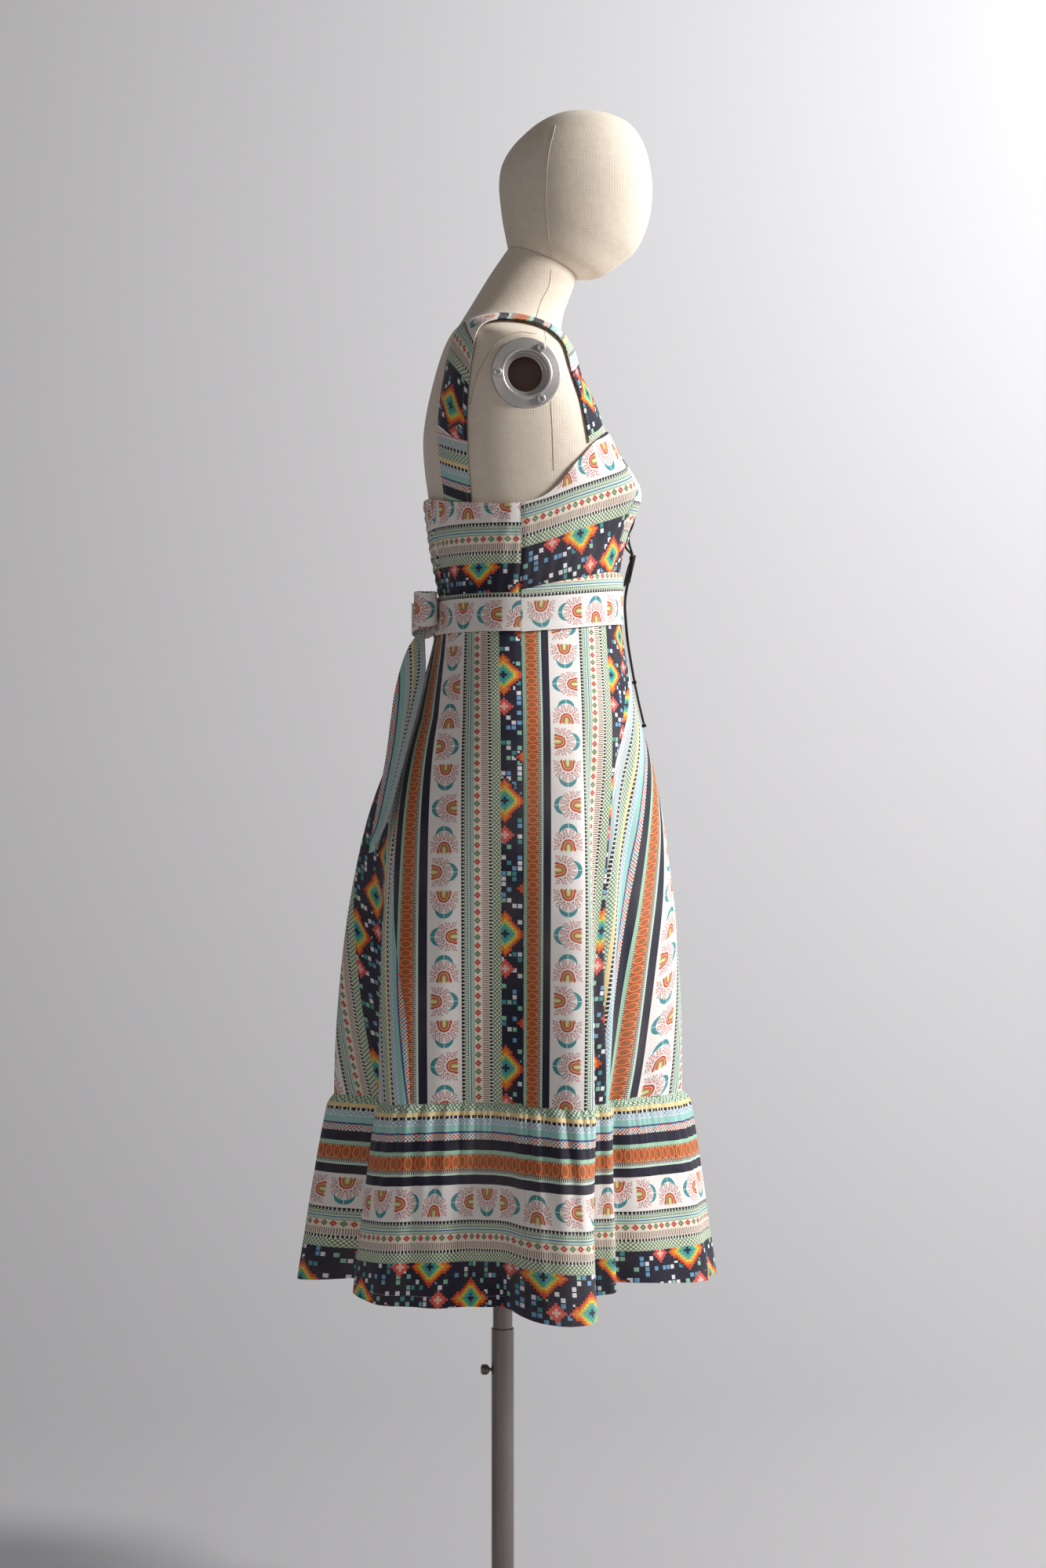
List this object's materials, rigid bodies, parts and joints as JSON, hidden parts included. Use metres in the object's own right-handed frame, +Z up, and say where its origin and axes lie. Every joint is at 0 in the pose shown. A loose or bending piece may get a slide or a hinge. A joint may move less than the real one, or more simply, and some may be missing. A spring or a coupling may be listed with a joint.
{
  "type": "day dress on a limbless dress form with stand",
  "caption": "Strapped midi day dress in banded print with laced bodice, tie back and gathered hem flounce, on a limbless dress form and pole stand.",
  "frame": {"origin": "centre of the base plate's underside, on the floor under the pole", "axes": "+Z up; the figure faces -Y, so its right side is -X"},
  "size_m": [0.5444, 0.537, 1.9475],
  "materials": {
    "printed_cotton": "matt woven cotton with a banded print",
    "form_linen": "plain woven linen cover",
    "stand_steel": "dark satin",
    "socket_alloy": "satin cast and turned",
    "black_cord": "round black cord"
  },
  "bodies": {
    "stand": {"stand_base": "stand_steel", "stand_hub": "stand_steel", "stand_tube": "stand_steel"},
    "mast": {"mast": "stand_steel"},
    "clamp": {"clamp_screw": "stand_steel"},
    "form": {"bodice_front_center": "printed_cotton", "bodice_front_right": "printed_cotton", "bodice_front_left": "printed_cotton", "bodice_back_right": "printed_cotton", "bodice_back_left": "printed_cotton", "bodice_back_center": "printed_cotton", "strap_front_right": "printed_cotton", "strap_front_left": "printed_cotton", "strap_back_right": "printed_cotton", "strap_back_left": "printed_cotton", "waistband_front": "printed_cotton", "sash_right": "printed_cotton", "sash_left": "printed_cotton", "bow_knot": "printed_cotton", "bow_loop_right": "printed_cotton", "bow_loop_left": "printed_cotton", "bow_tail_right": "printed_cotton", "bow_tail_left": "printed_cotton", "skirt_front_gore_right": "printed_cotton", "skirt_front_gore_left": "printed_cotton", "skirt_front_side_right": "printed_cotton", "skirt_front_side_left": "printed_cotton", "skirt_back_side_right": "printed_cotton", "skirt_back_side_left": "printed_cotton", "skirt_back_gore_right": "printed_cotton", "skirt_back_gore_left": "printed_cotton", "flounce_front_right": "printed_cotton", "flounce_back_right": "printed_cotton", "flounce_back_left": "printed_cotton", "flounce_front_left": "printed_cotton", "form_torso": "form_linen", "form_head": "form_linen", "arm_socket_right": "socket_alloy", "arm_socket_left": "socket_alloy", "arm_screw_right_1": "socket_alloy", "arm_screw_right_2": "socket_alloy", "arm_screw_right_3": "socket_alloy", "arm_screw_left_1": "socket_alloy", "arm_screw_left_2": "socket_alloy", "arm_screw_left_3": "socket_alloy", "eyelet_right_1": "socket_alloy", "eyelet_right_2": "socket_alloy", "eyelet_right_3": "socket_alloy", "eyelet_left_1": "socket_alloy", "eyelet_left_2": "socket_alloy", "eyelet_left_3": "socket_alloy", "lace_under": "black_cord", "lace_over": "black_cord", "lace_knot": "black_cord", "lace_loop_right": "black_cord", "lace_loop_left": "black_cord", "lace_end_long": "black_cord", "lace_end_long_knot": "black_cord", "lace_end_short": "black_cord", "lace_end_short_knot": "black_cord"}
  },
  "joints": [
    {"name": "height_slide", "type": "slide", "parent": "stand", "child": "mast", "axis": [0, 0, 1], "range_m": [-0.1, 0.15]},
    {"name": "form_turn", "type": "hinge", "parent": "mast", "child": "form", "pos_m": [0, 0, 1.06], "axis": [0, 0, 1], "continuous": true},
    {"name": "clamp_screw_turn", "type": "hinge", "parent": "stand", "child": "clamp", "pos_m": [0, 0.02, 0.344], "axis": [0, 1, 0], "range_deg": [0, 360]}
  ]
}
